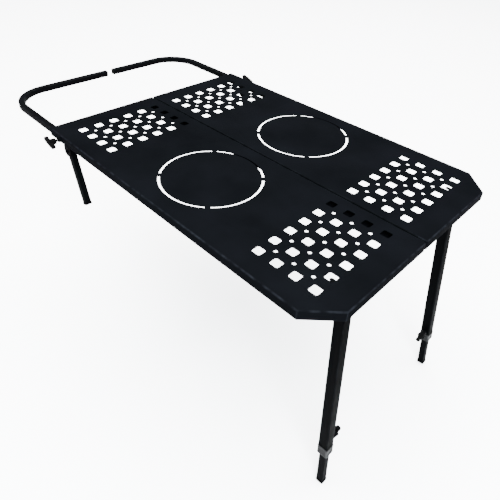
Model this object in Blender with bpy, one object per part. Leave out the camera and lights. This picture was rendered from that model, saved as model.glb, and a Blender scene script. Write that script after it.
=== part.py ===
"""Tire-mounted camp table: two perforated sheet-steel halves joined by a long hinge.

The back of the table hangs on a vehicle's tire by two bent arms, and the front stands on two telescoping legs.
+X is the table's width, +Y points to the tire and +Z is up. The origin lies in the seam plane, at the
table's back edge, level with the underside of the arms, where they bear on the tire's tread.
All lengths are in metres.
"""

import math

import bmesh
import bpy
from mathutils import Matrix, Vector

MM = 0.001

# Driving dimensions of the top
TOP_WIDTH = 731.5 * MM
TOP_LENGTH = 1022.5 * MM
FLANGE_DEPTH = 25 * MM
SHEET = 2 * MM
BEND_RADIUS = 3 * MM
CORNER_RADIUS = 4 * MM
INNER_CORNER_RADIUS = 0.5 * MM
CORNER_CUT = 67 * MM
RETURN_LIP = 28 * MM

# Driving dimensions of the hole pattern and the ring of slots
HOLE_PITCH = 50.8 * MM
HOLE_COLUMNS = 6
HOLE_ROWS = 4
SQUARE_HOLE = 23.5 * MM
SQUARE_CORNER = 4.5 * MM
SMALL_HOLE = 9.5 * MM
SEAM_MARGIN = 44 * MM
BACK_MARGIN = 75 * MM
FRONT_MARGIN = 77.5 * MM
RING_RADIUS = 134 * MM
RING_SLOT = 6 * MM
RING_BRIDGE = 14 * MM
RING_SLOTS = 4

# Driving dimensions of the seam hinge
HINGE_LEAF = 1.2 * MM
HINGE_LEAF_HEIGHT = 17 * MM
HINGE_BARREL_RADIUS = 2.4 * MM
HINGE_PIN_RADIUS = 1.2 * MM
HINGE_KNUCKLES = 11
HINGE_END_MARGIN = 24 * MM
HINGE_AXIS_RISE = 0.4 * MM
HINGE_LEAF_FROM_SEAM = 0.5 * MM

# Driving dimensions of the square tubes
OUTER_TUBE = 25.4 * MM
INNER_TUBE = 19.05 * MM
INNER_WALL = 1.6 * MM
TUBE_CORNER = 2.2 * MM
PLUG_CORNER = 0.6 * MM

# Driving dimensions of the tire arms
RECEIVER_LENGTH = 262 * MM
ARM_INSERTION = 192 * MM
TIRE_SPACE = 306 * MM
ARM_BEND_RADIUS = 115 * MM
ARM_GAP = 30 * MM
ARM_GAP_OFFSET = 28 * MM
ARM_KNOB_FROM_BACK = 60 * MM
ARM_KNOB_TILT = math.radians(16)
CAP_HEAD = 2.5 * MM
CAP_STEM = 14 * MM
STEM_IN_HEAD = 1 * MM

# Driving dimensions of the front legs
LEG_TUBE = 27 * MM
LEG_WALL = 2 * MM
LEG_OFFSET = 228 * MM
LEG_SETBACK = 50 * MM
LEG_LEAN = math.radians(6.1)
LEG_SPLAY = math.radians(3.4)
LEG_PIVOT_DROP = 32 * MM
LEG_TOP_END = 9 * MM
LEG_TO_COLLAR = 501 * MM
LEG_EXTENSION = 111 * MM
LEG_OVERLAP = 250 * MM
COLLAR_HEIGHT = 28 * MM
COLLAR_WALL = 1 * MM
COLLAR_LIP = 3 * MM
LEG_KNOB_FROM_COLLAR = 38 * MM
LEG_KNOB_TILT = math.radians(-72)
FOOT_HEIGHT = 7 * MM
FOOT_PLUG = 18 * MM
FOOT_OVERHANG = 0.8 * MM

# Driving dimensions of the rear posts
POST_LENGTH = 172 * MM
POST_FROM_BACK = 88 * MM
POST_LEAN = math.radians(16.5)
POST_TOP_END = 9 * MM

# Driving dimensions of brackets, bolts and knobs
BRACKET_WALL = 2.5 * MM
BRACKET_HALF_LENGTH = 17 * MM
BRACKET_EAR_BELOW_PIVOT = 15 * MM
STOP_STRAP_HEIGHT = 4 * MM
BRACKET_TONGUE_WIDTH = 9 * MM
BRACKET_TONGUE_REACH = 29 * MM
BRACKET_TONGUE_OFFSET = 22 * MM
BRACKET_WING = 9 * MM
BRACKET_TOE = 7.5 * MM
BOLT_RADIUS = 3 * MM
BOLT_HEAD_FLATS = 10 * MM
BOLT_HEAD_HEIGHT = 4 * MM
NUT_HEIGHT = 6 * MM
BOLT_PAST_NUT = 1.5 * MM
SCREW_RADIUS = 4 * MM
WELD_NUT_FLATS = 13 * MM
WELD_NUT_HEIGHT = 6.5 * MM
KNOB_BAR_LENGTH = 52 * MM
KNOB_BAR_WIDTH = 13 * MM
KNOB_BAR_DEPTH = 12 * MM
KNOB_WAIST_WIDTH = 11 * MM
KNOB_EDGE_ROUNDING = 2 * MM
KNOB_HUB_RADIUS = 10.5 * MM
KNOB_NECK_RADIUS = 8.5 * MM
KNOB_HUB_LENGTH = 11 * MM
KNOB_SCREW_DEPTH = 14 * MM
ARM_KNOB_STAND_OFF = 8 * MM
LEG_KNOB_STAND_OFF = 1 * MM

# Named clearances
TOUCH = 0.3 * MM
SLIDE_FIT = 0.5 * MM
SWING_FIT = 0.6 * MM
SHAFT_FIT = 0.3 * MM
LIP_RELIEF = 0.2 * MM
OVERCUT = 3 * MM

# Values that follow from the driving dimensions
TUBE_WALL = (OUTER_TUBE - INNER_TUBE) / 2 - SLIDE_FIT
HALF_WIDTH = TOP_WIDTH / 2
SEAM_FACE = HINGE_LEAF + TOUCH + HINGE_LEAF_FROM_SEAM
RECEIVER_X = HALF_WIDTH - SHEET - OUTER_TUBE / 2 - TOUCH
ARM_DROP = SHEET + TOUCH + OUTER_TUBE / 2
TOP_Z = ARM_DROP + INNER_TUBE / 2
ARM_Z = TOP_Z - ARM_DROP
SHEET_UNDER_Z = TOP_Z - SHEET
FLANGE_Z = TOP_Z - FLANGE_DEPTH
LEG_PIVOT_Z = TOP_Z - LEG_PIVOT_DROP
LEG_PIVOT_Y = -TOP_LENGTH + LEG_SETBACK
SPLAY_ROOM = BRACKET_EAR_BELOW_PIVOT * math.tan(LEG_SPLAY)
RECEIVER_UNDER_Z = ARM_Z - OUTER_TUBE / 2
POST_PIVOT_Z = (
    RECEIVER_UNDER_Z - TOUCH - BRACKET_WALL - SWING_FIT - math.hypot(INNER_TUBE / 2, POST_TOP_END)
)
ARC_STEPS = 8


def material(name, color, roughness, metallic):
    """A Principled material with the piece's own colour and finish."""
    mat = bpy.data.materials.new(name)
    mat.use_nodes = True
    shader = mat.node_tree.nodes["Principled BSDF"]
    shader.inputs["Base Color"].default_value = (*color, 1.0)
    shader.inputs["Roughness"].default_value = roughness
    shader.inputs["Metallic"].default_value = metallic
    mat.diffuse_color = (*color, 1.0)
    return mat


POWDER_COAT = material("satin_black_powder_coat", (0.012, 0.013, 0.016), 0.45, 0.2)
TUBE_COAT = material("black_tube_coat", (0.014, 0.014, 0.015), 0.4, 0.2)
BLACK_NYLON = material("black_nylon", (0.01, 0.01, 0.011), 0.55, 0.0)
COLLAR_NYLON = material("dark_gray_nylon", (0.05, 0.05, 0.052), 0.5, 0.0)
RUBBER = material("black_rubber", (0.008, 0.008, 0.008), 0.8, 0.0)
DARK_STEEL = material("blackened_steel", (0.03, 0.03, 0.032), 0.35, 0.9)


def add_object(name, bm, mat=None, parent=None):
    """Turns a bmesh into a named object with outward faces, smooth across its small angles."""
    bmesh.ops.recalc_face_normals(bm, faces=bm.faces)
    mesh = bpy.data.meshes.new(name)
    bm.to_mesh(mesh)
    bm.free()
    mesh.shade_smooth()
    mesh.set_sharp_from_angle(angle=math.radians(40))
    obj = bpy.data.objects.new(name, mesh)
    bpy.context.scene.collection.objects.link(obj)
    if mat:
        mesh.materials.append(mat)
    if parent:
        obj.parent = parent
    return obj


def add_pivot(name, location, rotation=(0, 0, 0)):
    """An empty on a joint's axis, which carries the pieces that move together."""
    pivot = bpy.data.objects.new(name, None)
    pivot.location = location
    pivot.rotation_euler = rotation
    bpy.context.scene.collection.objects.link(pivot)
    return pivot


def cut(obj, bm, name, operation="DIFFERENCE"):
    """Cuts a shape out of an object, or fuses one to it, and keeps that shape hidden beside it."""
    tool = add_object(name, bm, parent=obj.parent)
    tool.hide_render = True
    tool.display_type = "WIRE"
    tool.location = obj.location
    tool.rotation_euler = obj.rotation_euler
    modifier = obj.modifiers.new(name, "BOOLEAN")
    modifier.object = tool
    modifier.operation = operation
    modifier.solver = "EXACT"
    return tool


def box(bm, low, high):
    """Adds a box between two corners."""
    low = Vector(low)
    high = Vector(high)
    place = Matrix.Translation((low + high) / 2) @ Matrix.Diagonal((*(high - low), 1.0))
    bmesh.ops.create_cube(bm, size=1.0, matrix=place)


def prism(bm, outline, start, end):
    """Extrudes a plane outline, given as 3-D points, from one offset to another."""
    start = Vector(start)
    verts = [bm.verts.new(Vector(point) + start) for point in outline]
    face = bm.faces.new(verts)
    moved = bmesh.ops.extrude_face_region(bm, geom=[face])
    shift = Vector(end) - start
    bmesh.ops.translate(bm, vec=shift, verts=[v for v in moved["geom"] if isinstance(v, bmesh.types.BMVert)])


def cylinder(bm, radius, start, end, segments=16, end_radius=None):
    """Adds a round bar, or a taper, between two points."""
    start = Vector(start)
    end = Vector(end)
    axis = end - start
    turn = Vector((0, 0, 1)).rotation_difference(axis).to_matrix().to_4x4()
    bmesh.ops.create_cone(
        bm,
        cap_ends=True,
        segments=segments,
        radius1=radius,
        radius2=radius if end_radius is None else end_radius,
        depth=axis.length,
        matrix=Matrix.Translation((start + end) / 2) @ turn,
    )


def hexagon(flats):
    """The six corners of a hexagon in the YZ plane, given the width across its flats."""
    corner = flats / 2 / math.cos(math.pi / 6)
    return [
        (0, corner * math.cos(k * math.pi / 3), corner * math.sin(k * math.pi / 3)) for k in range(6)
    ]


def rounded_polygon(corners, radius, steps):
    """Rounds each corner of a plane polygon with an arc of the same number of points."""
    points = []
    count = len(corners)
    for k, corner in enumerate(corners):
        to_last = (corners[k - 1] - corner).normalized()
        to_next = (corners[(k + 1) % count] - corner).normalized()
        half_angle = to_last.angle(to_next) / 2
        center = corner + (to_last + to_next).normalized() * (radius / math.sin(half_angle))
        first = corner + to_last * (radius / math.tan(half_angle)) - center
        last = corner + to_next * (radius / math.tan(half_angle)) - center
        for step in range(steps + 1):
            share = step / steps
            weight_first = math.sin((1 - share) * (math.pi - 2 * half_angle))
            weight_last = math.sin(share * (math.pi - 2 * half_angle))
            arm = first * weight_first + last * weight_last
            points.append(center + arm / math.sin(math.pi - 2 * half_angle))
    return points


def inset_polygon(corners, distance):
    """Moves each side of a convex, counter-clockwise polygon inwards by the same distance."""
    moved = []
    count = len(corners)
    for k, corner in enumerate(corners):
        before = (corner - corners[k - 1]).normalized()
        after = (corners[(k + 1) % count] - corner).normalized()
        inward_before = Vector((-before.y, before.x))
        inward_after = Vector((-after.y, after.x))
        bisector = (inward_before + inward_after).normalized()
        moved.append(corner + bisector * (distance / bisector.dot(inward_after)))
    return moved


def tube_section(width, corner, steps=2):
    """The rounded square outline of a tube, as (across, up) pairs."""
    half = width / 2
    square = [Vector((-half, -half)), Vector((half, -half)), Vector((half, half)), Vector((-half, half))]
    return rounded_polygon(square, corner, steps)


def square_tube(bm, width, wall, stations):
    """Sweeps a square tube through stations, each a point with the section's across and up directions."""
    outer = tube_section(width, TUBE_CORNER)
    inner = tube_section(width - 2 * wall, max(TUBE_CORNER - wall, PLUG_CORNER))
    rings = []
    for point, across, up in stations:
        rings.append(
            [
                [bm.verts.new(point + across * p.x + up * p.y) for p in section]
                for section in (outer, inner)
            ]
        )
    count = len(outer)
    for a, b in zip(rings, rings[1:]):
        for side in (0, 1):
            for k in range(count):
                n = (k + 1) % count
                bm.faces.new((a[side][k], a[side][n], b[side][n], b[side][k]))
    for ring in (rings[0], rings[-1]):
        for k in range(count):
            n = (k + 1) % count
            bm.faces.new((ring[0][k], ring[0][n], ring[1][n], ring[1][k]))


def straight_stations(start, end, across, up):
    """The two stations of a straight tube."""
    return [(Vector(start), Vector(across), Vector(up)), (Vector(end), Vector(across), Vector(up))]


def half_outline(side):
    """The plan outline of one half, counter-clockwise, with its front outer corner cut off."""
    points = [
        Vector((SEAM_FACE, -TOP_LENGTH)),
        Vector((HALF_WIDTH - CORNER_CUT, -TOP_LENGTH)),
        Vector((HALF_WIDTH, -TOP_LENGTH + CORNER_CUT)),
        Vector((HALF_WIDTH, 0)),
        Vector((SEAM_FACE, 0)),
    ]
    if side < 0:
        points = [Vector((-p.x, p.y)) for p in reversed(points)]
    return points


def folded_tray(bm, side):
    """One half of the top: a sheet with its flanges folded down and their edges returned inwards."""
    bend = [
        (BEND_RADIUS * (1 - math.sin(k * math.pi / 6)), -BEND_RADIUS * (1 - math.cos(k * math.pi / 6)))
        for k in range(4)
    ]
    profile = bend + [
        (0, -FLANGE_DEPTH),
        (RETURN_LIP, -FLANGE_DEPTH),
        (RETURN_LIP, -FLANGE_DEPTH + SHEET),
        (SHEET, -FLANGE_DEPTH + SHEET),
        (SHEET, -SHEET),
    ]
    outline = half_outline(side)
    rings = []
    for inset, drop in profile:
        corners = inset_polygon(outline, inset)
        points = rounded_polygon(corners, max(CORNER_RADIUS - inset, INNER_CORNER_RADIUS), 3)
        rings.append([bm.verts.new((p.x, p.y, TOP_Z + drop)) for p in points])
    bm.faces.new(rings[0])
    bm.faces.new(rings[-1])
    for a, b in zip(rings, rings[1:]):
        for k in range(len(a)):
            n = (k + 1) % len(a)
            bm.faces.new((a[k], a[n], b[n], b[k]))


def hole_columns(side):
    """The X of each column of square holes, from the seam outwards."""
    return [side * (SEAM_MARGIN + k * HOLE_PITCH) for k in range(HOLE_COLUMNS)]


def hole_rows():
    """The Y of each row of square holes in the front and in the back cluster."""
    front = [-TOP_LENGTH + FRONT_MARGIN + k * HOLE_PITCH for k in range(HOLE_ROWS)]
    back = [-BACK_MARGIN - k * HOLE_PITCH for k in range(HOLE_ROWS)]
    return [front, back]


def perforations(bm, side):
    """Rounded square holes on a square grid, with a small round hole in the middle of each four."""
    low = Vector((0, 0, SHEET_UNDER_Z - OVERCUT))
    high = Vector((0, 0, TOP_Z + OVERCUT))
    half = SQUARE_HOLE / 2
    square = [Vector((-half, -half)), Vector((half, -half)), Vector((half, half)), Vector((-half, half))]
    hole = [Vector((p.x, p.y, 0)) for p in rounded_polygon(square, SQUARE_CORNER, 2)]
    columns = hole_columns(side)
    for rows in hole_rows():
        for x in columns:
            for y in rows:
                center = Vector((x, y, 0))
                prism(bm, [p + center for p in hole], low, high)
        for x, x_next in zip(columns, columns[1:]):
            for y, y_next in zip(rows, rows[1:]):
                center = Vector(((x + x_next) / 2, (y + y_next) / 2, 0))
                cylinder(bm, SMALL_HOLE / 2, low + center, high + center, segments=8)


def ring_slots(bm, side):
    """A plain ring cut as equal slots, with a bridge of sheet left at each diagonal."""
    center = Vector((side * HALF_WIDTH / 2, -TOP_LENGTH / 2, 0))
    low = Vector((0, 0, SHEET_UNDER_Z - OVERCUT))
    high = Vector((0, 0, TOP_Z + OVERCUT))
    quarter = 2 * math.pi / RING_SLOTS
    reach = quarter - RING_BRIDGE / RING_RADIUS
    for slot in range(RING_SLOTS):
        start = slot * quarter - reach / 2
        outer = []
        inner = []
        for k in range(ARC_STEPS + 1):
            angle = start + reach * k / ARC_STEPS
            direction = Vector((math.cos(angle), math.sin(angle), 0))
            outer.append(center + direction * (RING_RADIUS + RING_SLOT / 2))
            inner.append(center + direction * (RING_RADIUS - RING_SLOT / 2))
        prism(bm, outer + inner[::-1], low, high)


def table_half(name, side):
    """A half of the top with its holes, and with its lips and flanges notched for the arm's receiver."""
    bm = bmesh.new()
    folded_tray(bm, side)
    top = add_object(name, bm, POWDER_COAT)

    bm = bmesh.new()
    perforations(bm, side)
    ring_slots(bm, side)
    cut(top, bm, name + "_hole_cutter")

    # The lips stop short of the receiver, which lies in the corner of the side flange.
    receiver_in = side * (RECEIVER_X - OUTER_TUBE / 2 - SWING_FIT)
    flange_in = side * (HALF_WIDTH - SHEET + LIP_RELIEF)
    bm = bmesh.new()
    box(
        bm,
        (min(receiver_in, flange_in), -RECEIVER_LENGTH - SWING_FIT, FLANGE_Z - OVERCUT),
        (max(receiver_in, flange_in), -SHEET + LIP_RELIEF, FLANGE_Z + SHEET + BEND_RADIUS),
    )
    cut(top, bm, name + "_lip_cutter")

    # The arm leaves through a notch in the back flange, open at the bottom.
    notch = INNER_TUBE / 2 + SLIDE_FIT
    bm = bmesh.new()
    box(
        bm,
        (side * RECEIVER_X - notch, -SHEET - OVERCUT, FLANGE_Z - OVERCUT),
        (side * RECEIVER_X + notch, OVERCUT, ARM_Z + notch),
    )
    cut(top, bm, name + "_arm_notch_cutter")

    bm = bmesh.new()
    flange_out = side * (HALF_WIDTH + OVERCUT)
    through = side * (HALF_WIDTH - SHEET - OVERCUT)
    cylinder(
        bm,
        SCREW_RADIUS + SHAFT_FIT,
        (through, -ARM_KNOB_FROM_BACK, ARM_Z),
        (flange_out, -ARM_KNOB_FROM_BACK, ARM_Z),
    )
    cut(top, bm, name + "_screw_hole_cutter")
    return top


def hinge_leaf(name, side, pivot):
    """One leaf of the long seam hinge, with every second knuckle round the pin."""
    axis_z = TOP_Z + HINGE_AXIS_RISE
    first = -TOP_LENGTH + HINGE_END_MARGIN
    knuckle = (TOP_LENGTH - 2 * HINGE_END_MARGIN) / HINGE_KNUCKLES
    face_x = SEAM_FACE - TOUCH
    low = -HINGE_BARREL_RADIUS - HINGE_LEAF_HEIGHT
    under_barrel = -HINGE_BARREL_RADIUS - TOUCH
    edge = []
    own = 0 if side < 0 else 1
    for k in range(HINGE_KNUCKLES):
        y_start = first + k * knuckle
        y_end = y_start + knuckle
        if k % 2 == own:
            edge += [(y_start + TOUCH, under_barrel), (y_start + TOUCH, 0)]
            edge += [(y_end - TOUCH, 0), (y_end - TOUCH, under_barrel)]
    y_low = first + TOUCH
    y_high = first + HINGE_KNUCKLES * knuckle - TOUCH
    if own:
        edge = [(y_low, under_barrel)] + edge + [(y_high, under_barrel)]
    else:
        edge = edge[1:-1]
    outline = [(y_low, low)] + edge + [(y_high, low)]
    bm = bmesh.new()
    x_in = side * (face_x - HINGE_LEAF)
    x_out = side * face_x
    prism(bm, [(0, y, axis_z + z) for y, z in outline], (x_in, 0, 0), (x_out, 0, 0))
    shift = Matrix.Translation(-pivot.location)
    bmesh.ops.transform(bm, matrix=shift, verts=bm.verts)
    leaf = add_object(name, bm, DARK_STEEL, parent=pivot)

    bm = bmesh.new()
    for k in range(own, HINGE_KNUCKLES, 2):
        y_start = first + k * knuckle + TOUCH
        y_end = first + (k + 1) * knuckle - TOUCH
        cylinder(bm, HINGE_BARREL_RADIUS, (0, y_start, axis_z), (0, y_end, axis_z), segments=10)
    bmesh.ops.transform(bm, matrix=shift, verts=bm.verts)
    cut(leaf, bm, name + "_barrels", "UNION")

    bm = bmesh.new()
    cylinder(
        bm,
        HINGE_PIN_RADIUS + SHAFT_FIT,
        (0, first - OVERCUT, axis_z),
        (0, first + HINGE_KNUCKLES * knuckle + OVERCUT, axis_z),
        segments=8,
    )
    bmesh.ops.transform(bm, matrix=shift, verts=bm.verts)
    cut(leaf, bm, name + "_pin_bore")
    return leaf


def hinge_pin():
    """The steel pin through all the knuckles."""
    bm = bmesh.new()
    axis_z = TOP_Z + HINGE_AXIS_RISE
    cylinder(
        bm,
        HINGE_PIN_RADIUS,
        (0, -TOP_LENGTH + HINGE_END_MARGIN, axis_z),
        (0, -HINGE_END_MARGIN, axis_z),
        segments=8,
    )
    return add_object("seam_hinge_pin", bm, DARK_STEEL)


def arm_receiver(name, side):
    """The square tube under the sheet that the arm slides in."""
    bm = bmesh.new()
    x = side * RECEIVER_X
    square_tube(
        bm,
        OUTER_TUBE,
        TUBE_WALL,
        straight_stations(
            (x, -RECEIVER_LENGTH, ARM_Z), (x, -CORNER_RADIUS - TOUCH, ARM_Z), (1, 0, 0), (0, 0, 1)
        ),
    )
    receiver = add_object(name, bm, TUBE_COAT)
    bm = bmesh.new()
    cylinder(
        bm,
        SCREW_RADIUS + SHAFT_FIT,
        (side * (RECEIVER_X + INNER_TUBE / 2 - SLIDE_FIT), -ARM_KNOB_FROM_BACK, ARM_Z),
        (side * HALF_WIDTH, -ARM_KNOB_FROM_BACK, ARM_Z),
    )
    cut(receiver, bm, name + "_screw_hole_cutter")
    return receiver


def tire_arm(name, side, pivot):
    """The bent square tube that goes round the tire: a straight shank, a wide bend and a crossbar."""
    x = side * RECEIVER_X
    bend_y = TIRE_SPACE + INNER_TUBE / 2 - ARM_BEND_RADIUS
    bend_x = side * (RECEIVER_X - ARM_BEND_RADIUS)
    end_x = ARM_GAP_OFFSET + side * ARM_GAP / 2
    up = Vector((0, 0, 1))
    stations = [(Vector((x, -ARM_INSERTION, ARM_Z)), Vector((1, 0, 0)), up)]
    for k in range(ARC_STEPS + 1):
        angle = math.pi / 2 * k / ARC_STEPS
        outward = Vector((side * math.cos(angle), math.sin(angle), 0))
        point = Vector((bend_x, bend_y, ARM_Z)) + outward * ARM_BEND_RADIUS
        stations.append((point, outward * side, up))
    last_across = stations[-1][1]
    stations.append((Vector((end_x, TIRE_SPACE + INNER_TUBE / 2, ARM_Z)), last_across, up))
    bm = bmesh.new()
    square_tube(bm, INNER_TUBE, INNER_WALL, stations)
    bmesh.ops.transform(bm, matrix=Matrix.Translation(-pivot.location), verts=bm.verts)
    return add_object(name, bm, TUBE_COAT, parent=pivot)


def stepped_plug(name, head, stem, along, mat, parent, location=(0, 0, 0), head_width=INNER_TUBE):
    """A plug made as one body: its head fused to its stem."""
    sections = []
    bore = INNER_TUBE - 2 * INNER_WALL - 2 * TOUCH
    for width, corner, span in ((head_width, TUBE_CORNER, head), (bore, PLUG_CORNER, stem)):
        bm = bmesh.new()
        section = tube_section(width, corner)
        if along == "X":
            prism(bm, [(0, p.x, p.y) for p in section], (span[0], 0, 0), (span[1], 0, 0))
        else:
            prism(bm, [(p.x, p.y, 0) for p in section], (0, 0, span[0]), (0, 0, span[1]))
        sections.append(bm)
    plug = add_object(name, sections[0], mat, parent=parent)
    plug.location = location
    cut(plug, sections[1], name + "_stem", "UNION")
    return plug


def arm_cap(name, side, pivot):
    """The plastic plug in the open end of the crossbar."""
    end_x = ARM_GAP_OFFSET + side * ARM_GAP / 2
    tube_end = (end_x, TIRE_SPACE + INNER_TUBE / 2, ARM_Z)
    head = (-side * TOUCH, -side * (TOUCH + CAP_HEAD))
    stem = (-side * STEM_IN_HEAD, side * CAP_STEM)
    place = Vector(tube_end) - pivot.location
    return stepped_plug(name, head, stem, "X", BLACK_NYLON, pivot, place)


def weld_nut(name, face, side, parent=None):
    """A hexagon nut welded over a screw's hole, standing out along X from a flat face."""
    bm = bmesh.new()
    start = side * TOUCH
    end = side * (TOUCH + WELD_NUT_HEIGHT)
    prism(bm, hexagon(WELD_NUT_FLATS), (start, 0, 0), (end, 0, 0))
    nut = add_object(name, bm, DARK_STEEL, parent=parent)
    nut.location = face
    bm = bmesh.new()
    cylinder(bm, SCREW_RADIUS + SHAFT_FIT, (start - side * OVERCUT, 0, 0), (end + side * OVERCUT, 0, 0))
    cut(nut, bm, name + "_bore")
    return nut


def knob_outline(length, width):
    """A bar with round ends and a slight waist, in the YZ plane."""
    half = length / 2 - width / 2
    points = []
    for end in (1, -1):
        for k in range(7):
            angle = -math.pi / 2 + math.pi * k / 6
            y = end * (half + math.cos(angle) * width / 2)
            points.append((0, y, end * math.sin(angle) * width / 2))
        points.append((0, end * KNOB_HUB_RADIUS, end * KNOB_WAIST_WIDTH / 2))
    return points


def clamp_knob(name, screw_name, side, tilt, tip, stand_off, pivot):
    """A moulded T-handle on a steel screw; its screw's tip ends just clear of the tube that it clamps.

    Its own X axis is the screw's axis, and X = 0 is the face that the weld nut stands on."""
    hub_low = TOUCH + WELD_NUT_HEIGHT + stand_off
    bar_low = hub_low + KNOB_HUB_LENGTH
    bar_high = bar_low + KNOB_BAR_DEPTH
    bm = bmesh.new()
    prism(bm, knob_outline(KNOB_BAR_LENGTH, KNOB_BAR_WIDTH), (side * bar_low, 0, 0), (side * bar_high, 0, 0))
    bmesh.ops.rotate(bm, matrix=Matrix.Rotation(tilt, 3, "X"), verts=bm.verts)
    knob = add_object(name, bm, BLACK_NYLON, parent=pivot)
    rounding = knob.modifiers.new("edge_rounding", "BEVEL")
    rounding.width = KNOB_EDGE_ROUNDING
    rounding.segments = 1
    rounding.limit_method = "ANGLE"
    rounding.angle_limit = math.radians(50)

    bm = bmesh.new()
    cylinder(
        bm,
        KNOB_NECK_RADIUS,
        (side * hub_low, 0, 0),
        (side * (bar_low + KNOB_BAR_DEPTH / 2), 0, 0),
        segments=16,
        end_radius=KNOB_HUB_RADIUS,
    )
    cut(knob, bm, name + "_hub", "UNION")
    bm = bmesh.new()
    cylinder(
        bm,
        SCREW_RADIUS + SHAFT_FIT,
        (side * (hub_low - OVERCUT), 0, 0),
        (side * (hub_low + KNOB_SCREW_DEPTH), 0, 0),
        segments=12,
    )
    cut(knob, bm, name + "_bore")

    bm = bmesh.new()
    cylinder(
        bm,
        SCREW_RADIUS,
        (side * tip, 0, 0),
        (side * (hub_low + KNOB_SCREW_DEPTH - TOUCH), 0, 0),
        segments=12,
    )
    screw = add_object(screw_name, bm, DARK_STEEL, parent=pivot)
    return knob, screw


def pivot_bolt(name, location, reach, tilt=0.0):
    """A hexagon-head bolt across a bracket with a lock nut at its far end, both outside the bracket's ears."""
    bm = bmesh.new()
    head_face = reach + TOUCH + BOLT_HEAD_FLATS * abs(math.tan(tilt))
    prism(
        bm,
        hexagon(BOLT_HEAD_FLATS),
        (-head_face - BOLT_HEAD_HEIGHT, 0, 0),
        (-head_face, 0, 0),
    )
    bolt = add_object(name, bm, DARK_STEEL)
    bolt.location = location
    bolt.rotation_euler = (0, tilt, 0)
    bm = bmesh.new()
    bolt_end = head_face + NUT_HEIGHT + BOLT_PAST_NUT
    cylinder(bm, BOLT_RADIUS, (-head_face - BOLT_HEAD_HEIGHT / 2, 0, 0), (bolt_end, 0, 0), 12)
    cut(bolt, bm, name + "_shank", "UNION")
    bm = bmesh.new()
    prism(bm, hexagon(BOLT_HEAD_FLATS), (head_face, 0, 0), (head_face + NUT_HEIGHT, 0, 0))
    cut(bolt, bm, name + "_nut", "UNION")
    return bolt


def bracket(name, location, profile, tube_width, channels, tilt=0.0):
    """A folded bracket: a side profile pulled across its width, then hollowed between its ears.

    Each channel is given by its two ends along Y and its bottom and top."""
    inside = tube_width / 2 + SWING_FIT
    outside = inside + BRACKET_WALL
    bm = bmesh.new()
    prism(bm, [(0, y, z) for y, z in profile], (-outside, 0, 0), (outside, 0, 0))
    body = add_object(name, bm, TUBE_COAT)
    body.location = location
    for number, (front, back, low, high) in enumerate(channels):
        bm = bmesh.new()
        box(bm, (-inside, front, low), (inside, back, high))
        cut(body, bm, name + "_channel_cutter_" + str(number))
    bm = bmesh.new()
    cylinder(bm, BOLT_RADIUS + SHAFT_FIT, (-outside - OVERCUT, 0, 0), (outside + OVERCUT, 0, 0), 12)
    bmesh.ops.rotate(bm, matrix=Matrix.Rotation(tilt, 3, "Y"), verts=bm.verts)
    cut(body, bm, name + "_bolt_hole_cutter")
    return body


def leg_bracket(name, side):
    """The leg's bracket, welded under the sheet. A low strap across its front stops the leg at its lean."""
    under_sheet = LEG_PIVOT_DROP - SHEET - TOUCH
    ear_low = -BRACKET_EAR_BELOW_PIVOT
    leg_front = ear_low * math.tan(LEG_LEAN) - LEG_TUBE / 2 / math.cos(LEG_LEAN) - TOUCH
    web_out = leg_front - BRACKET_WALL
    back = BRACKET_HALF_LENGTH
    profile = [
        (web_out, under_sheet),
        (web_out, ear_low),
        (BRACKET_TOE, ear_low),
        (back, 0),
        (back, under_sheet),
    ]
    web_under_sheet = under_sheet - BRACKET_WALL
    channels = [
        (leg_front, back + OVERCUT, ear_low - OVERCUT, web_under_sheet),
        (web_out - OVERCUT, 0, ear_low + STOP_STRAP_HEIGHT, web_under_sheet),
    ]
    place = (side * LEG_OFFSET, LEG_PIVOT_Y, LEG_PIVOT_Z)
    body = bracket(name, place, profile, LEG_TUBE + 2 * SPLAY_ROOM, channels, -side * LEG_SPLAY)

    # A narrow tongue with a round end runs back beside the outer ear, spot-welded to the sheet.
    half = BRACKET_TONGUE_WIDTH / 2
    middle = side * BRACKET_TONGUE_OFFSET
    root = back - BRACKET_WING
    bm = bmesh.new()
    box(
        bm,
        (min(side * LEG_TUBE / 2, middle + side * half), root, web_under_sheet),
        (max(side * LEG_TUBE / 2, middle + side * half), back, under_sheet),
    )
    cut(body, bm, name + "_wing", "UNION")
    outline = [(middle + half, root, 0)]
    for k in range(ARC_STEPS + 1):
        angle = math.pi * k / ARC_STEPS
        reach = BRACKET_TONGUE_REACH - half
        outline.append((middle + half * math.cos(angle), reach + half * math.sin(angle), 0))
    outline.append((middle - half, root, 0))
    bm = bmesh.new()
    prism(bm, outline, (0, 0, web_under_sheet), (0, 0, under_sheet))
    cut(body, bm, name + "_tongue", "UNION")
    return body


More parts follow.
